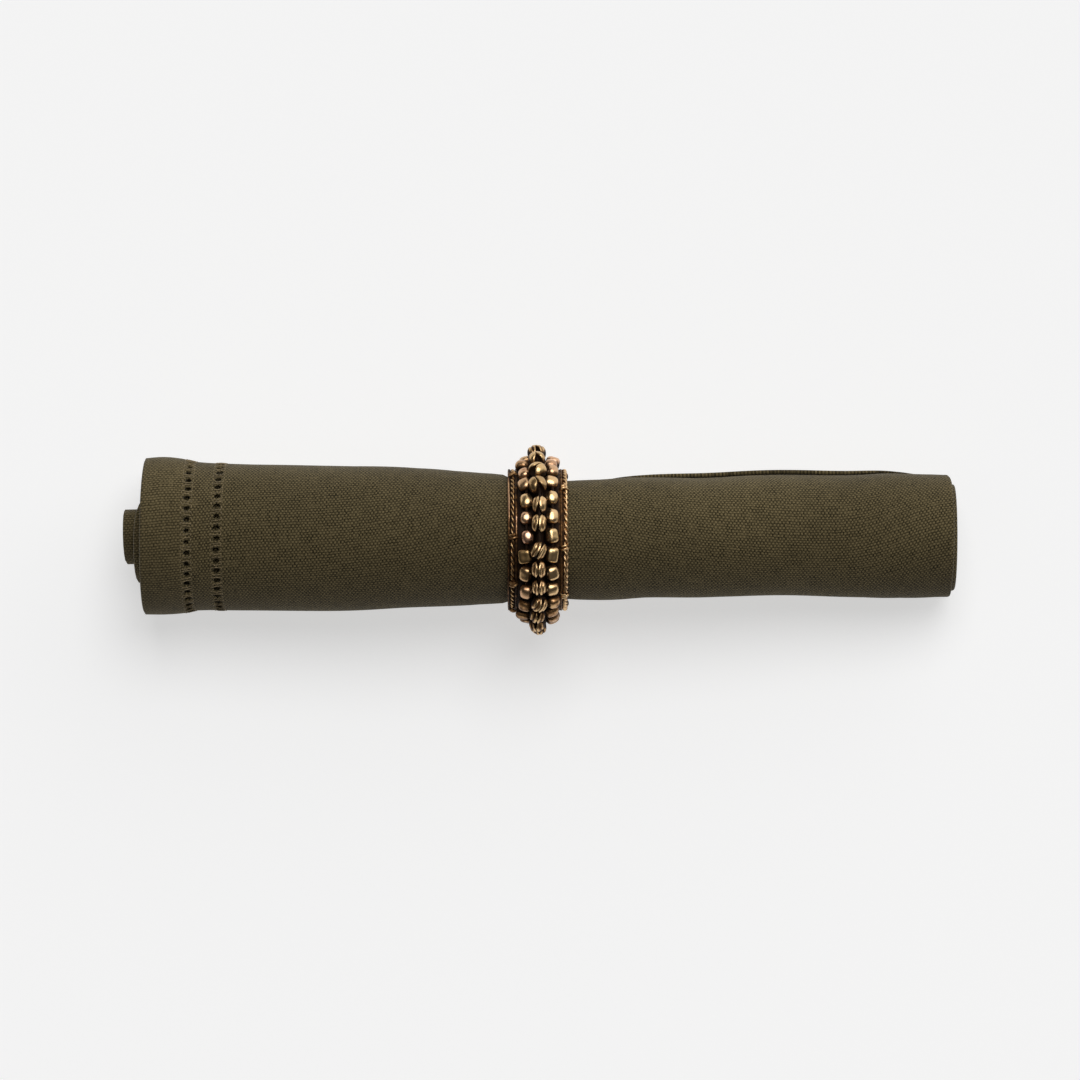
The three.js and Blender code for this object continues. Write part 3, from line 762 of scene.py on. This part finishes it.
wireSides = 8
angle = turnAngle * np.arange(300) / 300
for side, (across, reach, half, shadeAndDirt) in band["edgeWires"].items():
    path = roundRing(across + 0.06 * np.sin(7 * angle), reach + 0.04 * np.sin(9 * angle + 1), angle)[None]
    corners, groups = tubes(path, half, wireSides, (1, 0, 0), closed=True)
    worn = np.repeat(lighterPlace(angle, band["wireBright"]), wireSides) * (side == "left")
    values = plain(corners, 0.35 + 0.6 * worn, 0.7, shadeAndDirt - 0.4 * worn)
    addPiece(f"edge_wire_{side}", corners, groups, bandMetal, "band", values=values)

rim = {
    "radius": 21.5,
    "strand": {"left": 0.38, "right": 0.42},  # half thickness of a strand, and its distance from the wire's middle
    "twists": 31,
    "across": {"left": -8.15, "right": 8.65},
    # painted shade: the left wire gets a lower tone and more darkening, as it lies partly in shadow
    "tone": {"left": 0.4, "right": 0.95},
    "shadeAndDirt": {"left": 0.62, "right": 0.3},
}


# two strands wound round each other: c = (s sin w, s cos w) with w = twists times the angle
def twistedWire(side):
    steps, strand = rim["twists"] * 14, rim["strand"][side]
    angle = turnAngle * np.arange(steps) / steps
    paths = []
    for phase in (0, math.pi):
        turn = phase - rim["twists"] * angle
        across = rim["across"][side] + strand * np.sin(turn)
        paths.append(roundRing(across, rim["radius"] + strand * np.cos(turn), angle))
    return tubes(np.array(paths), strand, wireSides, (1, 0, 0), closed=True)


# how deep a point of a wire lies in: its lower half and the grooves between strands are painted darker, as shade
# with some dirt
def depthIn(corners, reach, above=0.4):
    out = np.hypot(corners[:, 1] - ringY, corners[:, 2] - ringZ) - reach
    return np.clip(above - 0.9 * out, 0, 1)


for side in ("left", "right"):
    corners, groups = twistedWire(side)
    values = plain(corners, rim["tone"][side], 0.2, depthIn(corners, rim["radius"], rim["shadeAndDirt"][side]))
    addPiece(f"rim_twist_{side}", corners, groups, rimMetal, "rim", f"rim_wire_{side}", values=values)

# wire wrapped round the rim and the band's edge
ties = {
    "left": [66, 2.4, -38.3, -78, -140, 169, 115],  # angles from the top of the ring
    "right": [46.5, -6.5, -50.9, -112, -153, 156, 112],
    "across": {"left": -7.8, "right": 8.1},
    "shadeAndDirt": {"left": 0.3, "right": 0},
    "half": 1.35,  # half width of a wrap, and how far it stands out
    "wire": 0.42,
    "wraps": 1.45,
    "start": 2.3,  # how far below the rim a wrap begins, as an angle round the rim
    "spread": 0.75,  # along the rim
}


# a helix round the rim: c = (h sin w, h cos w), moving along the rim by its spread from end to end
def tieMesh(side):
    steps = 34
    turn = turnAngle * ties["wraps"] * np.linspace(0, 1, steps) - ties["start"]
    angle = np.radians(ties[side])[:, None]
    across = ties["across"][side] + ties["half"] * np.sin(turn)[None]
    reach = rim["radius"] + ties["half"] * np.cos(turn)[None]
    along = ties["spread"] * np.linspace(-1, 1, steps)[None] + 0.1 * np.sin(3 * turn + angle)
    return tubes(roundRing(across, reach, angle, along), ties["wire"], 7, (0.02, 0.3, 1))


for side in ("left", "right"):
    corners, groups = tieMesh(side)
    # painted darker on their lower half, as shade with some dirt, and the left ties darker still
    values = plain(corners, 0.95, 0.15, depthIn(corners, 22.2) * 0.7 + ties["shadeAndDirt"][side])
    addPiece(f"rim_ties_{side}", corners, groups, rimMetal, "rim", values=values)

beads = {
    "count": 26,
    # the beads in sight: angle from the top of the ring, how far aside of the row, squareness, tone, copper and
    # dimple; flats are the depths worn off their upper sides, and the row's painted light is the share by which the
    # whole row is made lighter, most on the right, as the light comes from +X
    "left": {
        "across": -3.75, "reach": 24.3, "tilt": -0.35, "paintedLight": 0.03,
        "seen": [
            (73, -1.4, 2.6, 0.5, 0.5, 0), (57, -0.5, 2.5, 0.6, 0.6, 0), (45, -0.55, 2.7, 0.5, 0.5, 0),
            (29.9, 0, 2.5, 0.9, 0.1, 0.03), (16.3, 0.05, 2.4, 1, 0.5, 0), (1.8, 0.5, 2.4, 1, 0.75, 0),
            (-12, -0.35, 4.2, 0.15, 0.1, 0.1), (-25.6, -0.15, 3.5, 0.3, 0.35, 0.05), (-41.2, 0, 3.2, 0.4, 0.7, 0),
            (-56, -0.35, 2.9, 0.4, 0.3, 0), (-70, -1.1, 3.4, 0.3, 0.4, 0),
        ],
        "flats": [0, 0, 0.15, 0.22, 0.23, 0.24, 0.03, 0.1, 0.12, 0.1, 0],
    },
    "right": {
        "across": 4.4, "reach": 24.3, "tilt": 0.35, "paintedLight": 0.13,
        "seen": [
            (73.5, -0.7, 2.4, 0.45, 0.8, 0), (61, -0.1, 2.5, 0.7, 0.5, 0), (48, -0.5, 2.6, 0.9, 0.2, 0),
            (32.4, -0.35, 2.6, 1, 0.1, 0.02), (17.6, -0.1, 3, 1, 0.15, 0), (3.2, -0.25, 3.7, 0.95, 0, 0.03),
            (-11, -0.2, 4, 0.9, 0, 0.08), (-24.6, -0.1, 3.2, 0.9, 0.1, 0.03), (-38.6, -0.2, 3, 0.8, 0.15, 0.02),
            (-52.5, 0.1, 2.8, 0.5, 0.35, 0), (-65, -0.3, 2.8, 0.4, 0.5, 0),
        ],
        "flats": [0, 0.1, 0.2, 0.3, 0.3, 0.16, 0.14, 0.2, 0.18, 0.1, 0],
    },
    # and here angle, how far aside, lean of the slit in degrees, length along the wire and width; bells are the
    # beads whose slit opens wide at one end and that have no grooves
    "middle": {
        "across": 0.3, "reach": 27.5,
        "seen": [
            (84, -1.15, 20, 5, 5.2), (66, -0.8, 15, 5.2, 5.3), (52.5, -0.6, -48, 5.3, 5.6),
            (38.8, -0.6, 20, 5.6, 5.8), (23.7, 0.1, -6, 5.5, 4.6), (10.8, -0.1, -5, 5.8, 4.7),
            (-7, -0.25, -27, 5.6, 4.6), (-19.5, -0.2, 2, 5.4, 4.5), (-32.5, -0.1, 3, 5, 4.5),
            (-46.8, -0.05, -28, 5.3, 4.7), (-59, -0.6, -12, 5.2, 4.8), (-72.5, -0.8, 10, 5.2, 4.9),
        ],
        "bells": [1, 2, 3],
        "tones": [0.6, 0.7, 0.75, 0.3, 0.95, 0.95, 0.85, 0.9, 0.9, 0.7, 0.6, 0.7],
    },
    "sideSize": (4.7, 4.15, 4.1),  # along the wire, across and outwards
    "middleHeight": 5.0,
    "wire": 0.45,  # half thickness of the wires through them
}
# the side of the beads that faces up is worn flat: its direction aside, to the back and up, how softly the flat
# ends, and the share of what stands out that is gone
wear = {"facing": (0.05, 0.23, 0.97), "softness": 0.08, "share": 0.8}


# a value for each bead of a row: known ones first, and the rest at random
def forRow(dice, low, high, known=()):
    values = dice.uniform(low, high, (beads["count"], 1))
    values[: len(known), 0] = known
    return values


# angles of a whole row: those that are known, and the rest evenly between the last and the first
def rowAngles(known):
    rest = beads["count"] - len(known)
    gap = (360 - (known[0] - known[-1])) / (rest + 1)
    return np.radians([*known, *(known[-1] - gap * (1 + np.arange(rest)))])


# (along, across, out) turned by a spin round the outward axis and a roll round the wire
def turned(shape, spin, roll):
    s, a, o = shape
    s, a = s * np.cos(spin) + a * np.sin(spin), a * np.cos(spin) - s * np.sin(spin)
    a, o = a * np.cos(roll) + o * np.sin(roll), o * np.cos(roll) - a * np.sin(roll)
    return s, a, o


# depth deep flats on the beads: where t = p . n is past its limit, p shrinks towards the bead's middle
def wornFlat(shape, angle, depth):
    aside, back, up = wear["facing"]
    normal = (back * np.cos(angle) - up * np.sin(angle), aside, back * np.sin(angle) + up * np.cos(angle))
    t = sum(part * n for part, n in zip(shape, normal))
    over = t - t.max(1, keepdims=True) + depth
    less = wear["share"] * wear["softness"] * np.logaddexp(0, over / wear["softness"])
    return [part * (1 - less / np.maximum(t, 1)) for part in shape]


# rounded cubes: r = (|s|^p + |a|^p + |o|^p)^(-1/p), with p from 2.4 for a pebble to 4.2 for a cube
def sideBeads(side, seed):
    dice = np.random.default_rng(seed)
    row, n = beads[side], beads["count"]
    angles, asides, squareness, tones, coppers, dimples = np.array(row["seen"]).T
    lat, lon, groups = balls(n, np.linspace(0, math.pi, 26), 34)
    per = lambda low, high, known=(): forRow(dice, low, high, known)
    s, a, o = np.cos(lat), np.sin(lat) * np.sin(lon), np.sin(lat) * np.cos(lon)
    power = per(2.4, 4.2, squareness)
    reach = (np.abs(s) ** power + np.abs(a) ** power + np.abs(o) ** power) ** (-1 / power)
    uneven = 1
    for amount, waves, way in ((0.03, 3, s), (0.03, 3.3, a), (0.02, 4, o)):
        uneven = uneven + amount * np.sin(waves * way + per(0, 6))
    dimple = per(-0.06, 0.08, dimples)
    fromTop = np.arccos(np.clip(o * 0.95 + s * per(-0.3, 0.3), -1, 1))
    reach = reach * uneven * (1 - np.maximum(dimple, 0) * np.exp(-((fromTop / 0.42) ** 2)))
    size = [full / 2 * per(0.9, 1.03) for full in beads["sideSize"]]
    shape = [half * way * reach for half, way in zip(size, (s, a, o))]
    shape = turned(shape, per(-0.2, 0.2), row["tilt"] + per(-0.2, 0.2))
    angle = rowAngles(angles)[:, None]
    shape = wornFlat(shape, angle, per(0, 0.2, row["flats"]))
    across = row["across"] + per(-0.3, 0.2, asides)
    corners = roundRing(across + shape[1], row["reach"] + shape[2], angle, shape[0])
    # dirt and painted shade in the lower half and at the ends on the wire, painted shade on the ring's upper side
    # and painted shade with dirt on its lower side, and darker in the dimple
    shadeAndPatina = 0.35 * smooth(-o, -0.6, 0) + 0.6 * smooth(-o, -0.15, 0.4) + 0.2 * smooth(np.abs(s), 0.7, 1.0)
    shadeAndPatina += 0.17 * smooth(np.sin(angle), 0.62, 0.92) + 0.4 * smooth(-np.sin(angle), 0.6, 0.9)
    shadeAndPatina += np.maximum(dimple, 0) * 2 * np.exp(-((fromTop / 0.3) ** 2))
    # painted light: the whole row is made lighter, the right row most
    shadeAndPatina -= row["paintedLight"]
    # the bead's own copper tint, and a painted reddish reflection on its lower half
    copperAndReflection = per(0, 0.6, coppers) + 0.25 * smooth(-o, -0.75, 0)
    tone = per(0.35, 1.0, tones) + 0 * s
    values = {"shadeAndPatina": shadeAndPatina.ravel(), "tone": tone.ravel(), "copperAndReflection": copperAndReflection.ravel()}
    return corners.reshape(-1, 3), groups, values


for side, seed in (("left", 3), ("right", 4)):
    corners, groups, values = sideBeads(side, seed)
    addPiece(f"beads_{side}", corners, groups, beadMetal, "bead", f"bead_row_{side}", values=values)


# slit beads: a ball, a little square as the side beads are, cut by a slit across its top that widens to its ends,
# with lips beside it and a crescent groove and ridge in each half
def middleBeads():
    dice = np.random.default_rng(5)
    row, n = beads["middle"], beads["count"]
    angles, asides, leans, lengths, widths = np.array(row["seen"]).T
    # degrees from the slit at which a bead is sliced, closer together in the slit
    half = np.array([90, 78, 66, 56, 48, 42, 37, 33, 29, 25.5, 22, 18.5, 15.5, 13, 10.5, 8, 5.5, 3, 0])
    slices = np.radians(90 - np.concatenate([half, -half[-2::-1]]))
    lat, lon, groups = balls(n, slices, 32)
    per = lambda low, high, known=(): forRow(dice, low, high, known)
    a, s, o = np.cos(lat), np.sin(lat) * np.sin(lon), np.sin(lat) * np.cos(lon)
    off = np.abs(90 - np.degrees(lat))  # degrees from the slit
    along = np.degrees(np.arctan2(s, o))  # degrees from the top of the bead along the slit
    bell = np.zeros((n, 1))
    bell[row["bells"]] = 1
    size = [per(5, 5.6, lengths) / 2, per(4.5, 5.1, widths) / 2, beads["middleHeight"] / 2 * per(0.96, 1.04)]
    base = (np.abs(s) ** 2.4 + np.abs(a) ** 2.3 + np.abs(o) ** 2.3) ** (-1 / 2.35)
    opening = per(2.2, 3.2) + (14 + 9 * bell) * smooth(-along, 0, 75) * per(0.85, 1.15)
    opening = opening + 9 * (1 - bell) * smooth(along, 18, 80)
    slitEnd = 1 - smooth(np.abs(along), 88, 104)
    slit = (1 - smooth(off / opening, 0.5, 1.35)) * slitEnd
    lip = np.exp(-(((off - opening - 6.5) / 5) ** 2)) * slitEnd
    crescent = opening + 9 + 20 * np.cos(np.radians(np.clip(along, -90, 90) * 0.95)) + per(-2, 2)
    grooveEnd = (1 - smooth(np.abs(along), 52, 80)) * (1 - bell)
    weaker = np.where(a > 0, per(0.2, 0.8), per(0.7, 1.0))
    groove = np.exp(-(((off - crescent) / 8) ** 2)) * grooveEnd * weaker
    ridge = np.exp(-(((off - crescent - 15) / 6) ** 2)) * grooveEnd
    depth = -1.3 * slit + 0.07 * lip - 0.42 * groove + 0.05 * ridge
    reach = [size[k] * d * base for k, d in enumerate((s, a, o))]
    length = np.sqrt(sum(part**2 for part in reach))
    shape = [part * (1 + depth / length) for part in reach]
    tilt = np.radians(per(-15, 15, leans))
    shape = turned(shape, tilt, per(-0.12, 0.12))
    angle = rowAngles(angles)[:, None]
    shape = wornFlat(shape, angle, per(0.1, 0.24))
    across = row["across"] + per(-0.5, 0.1, asides)
    corners = roundRing(across + shape[1], row["reach"] + shape[2], angle, shape[0])
    # patina and painted shade in the slit, the grooves, the lower half and at the ends, darker on the flanks,
    # painted shade on the ring's upper side and painted shade with dirt on its lower side, and painted highlight on
    # the lips and ridge
    shadeAndPatina = 1.5 * (1 - smooth(off / opening, 0.7, 1.4)) * slitEnd + 0.6 * groove - 0.3 * lip - 0.15 * ridge
    shadeAndPatina += 0.4 * smooth(off, 52, 68) + 0.75 * smooth(-o, -0.4, 0.3) + 0.12 * smooth(np.sin(angle), 0.62, 0.92)
    shadeAndPatina += 0.3 * smooth(-np.sin(angle), 0.6, 0.9) + 0.35 * smooth(np.abs(s), 0.8, 1.0)
    tone = per(0.6, 1.0, row["tones"]) + 0 * s
    # a painted reddish reflection on the lower half
    copperAndReflection = per(0.0, 0.15) + 0.3 * smooth(-o, -0.5, 0)
    values = {"shadeAndPatina": shadeAndPatina.ravel(), "tone": tone.ravel(), "copperAndReflection": copperAndReflection.ravel()}
    return corners.reshape(-1, 3), groups, values


corners, groups, values = middleBeads()
addPiece("beads_middle", corners, groups, beadMetal, "bead", "bead_row_middle", values=values)

angle = turnAngle * np.arange(180) / 180
strung = [roundRing(beads[row]["across"], beads[row]["reach"], angle) for row in ("left", "middle", "right")]
corners, groups = tubes(np.array(strung), beads["wire"], wireSides, (1, 0, 0), closed=True)
# the wires through the beads are painted dark, as shade between the beads
addPiece("bead_wires", corners, groups, rimMetal, "rim", values=plain(corners, 0.2, 0.3, 0.7))

studio = {
    "glow": 0.567,  # light that the pale surface gives by itself, and the share that it gives back
    "floor": 0.62,
    "floorHalf": 4,  # half of the surface's side, in metres
    "dark": 0.05,  # light from around, from a soft ceiling and from a low window
    "ceiling": 0.12,
    "ceilingEdge": (0.72, 1.0),  # cosines to the zenith between which the ceiling brightens
    "window": 1.0,
    "windowHeight": 9,  # degrees over the horizon
    "windowSide": 38,  # degrees from +Y towards +X
    "windowEdge": (0.61, 0.98),  # cosines to the window's middle
    "sun": 1.31,
    "sunHeight": 62.5,
    "sunSide": 13,
    "sunWidth": 37,  # degrees across
    "width": 339.6,  # of the picture at the height of the roll's middle
    "middle": -0.16,  # of the picture, along X
    "distance": 8.0,  # in metres, as is the height of the roll's middle
    "focus": 0.025,
    "sensor": 36,
}


def floorMaterial():
    material, wire = newMaterial("pale surface")
    colour = spotsOf(wire, 30.0, 2.0).mix([studio["floor"] * 0.995] * 3, [studio["floor"]] * 3)
    surface(
        wire, Base_Color=colour, Roughness=1.0, Specular_IOR_Level=0.0, Emission_Color=(1, 1, 1, 1),
        Emission_Strength=studio["glow"],
    )
    return material


mesh = bpy.data.meshes.new("floor")
half = studio["floorHalf"]
mesh.from_pydata([(-half, -half, 0), (half, -half, 0), (half, half, 0), (-half, half, 0)], [], [(0, 1, 2, 3)])
mesh.materials.append(floorMaterial())
floor = bpy.data.objects.new("floor", mesh)
bpy.context.scene.collection.objects.link(floor)

sun = bpy.data.lights.new("key", "SUN")
sun.energy = studio["sun"]
sun.angle = math.radians(studio["sunWidth"])
key = bpy.data.objects.new("key", sun)
key.rotation_euler = (math.radians(studio["sunHeight"] - 90), 0, -math.radians(studio["sunSide"]))
bpy.context.scene.collection.objects.link(key)

world = bpy.data.worlds.new("studio")
world.use_nodes = True
world.node_tree.nodes.clear()
sky = Wire(world.node_tree)
way = sky.node("ShaderNodeTexCoord", None, None, 0)
side, up = math.radians(studio["windowSide"]), math.radians(studio["windowHeight"])
middle = (math.sin(side) * math.cos(up), math.cos(side) * math.cos(up), math.sin(up))
toMiddle = sky.node("ShaderNodeVectorMath", {"operation": "DOT_PRODUCT"}, {0: way, 1: middle}, 1)
window = toMiddle.ramp(*studio["windowEdge"])
ceiling = sky.node("ShaderNodeSeparateXYZ", None, {0: way}, 2).ramp(*studio["ceilingEdge"])
strength = studio["dark"] + window * studio["window"] + ceiling * studio["ceiling"]
background = sky.node("ShaderNodeBackground", None, {"Color": (1, 1, 1, 1), "Strength": strength})
sky.node("ShaderNodeOutputWorld", None, {"Surface": background})
bpy.context.scene.world = world
bpy.context.scene.view_settings.view_transform = "Standard"
print("surface and light set")

camera = bpy.data.cameras.new("camera")
camera.sensor_width = studio["sensor"]
camera.lens = studio["sensor"] * studio["distance"] / (studio["width"] * mm)
camera.clip_start, camera.clip_end = 0.1, 20
eye = bpy.data.objects.new("camera", camera)
eye.location = (studio["middle"] * mm, 0, studio["distance"] + studio["focus"])
bpy.context.scene.collection.objects.link(eye)
bpy.context.scene.camera = eye
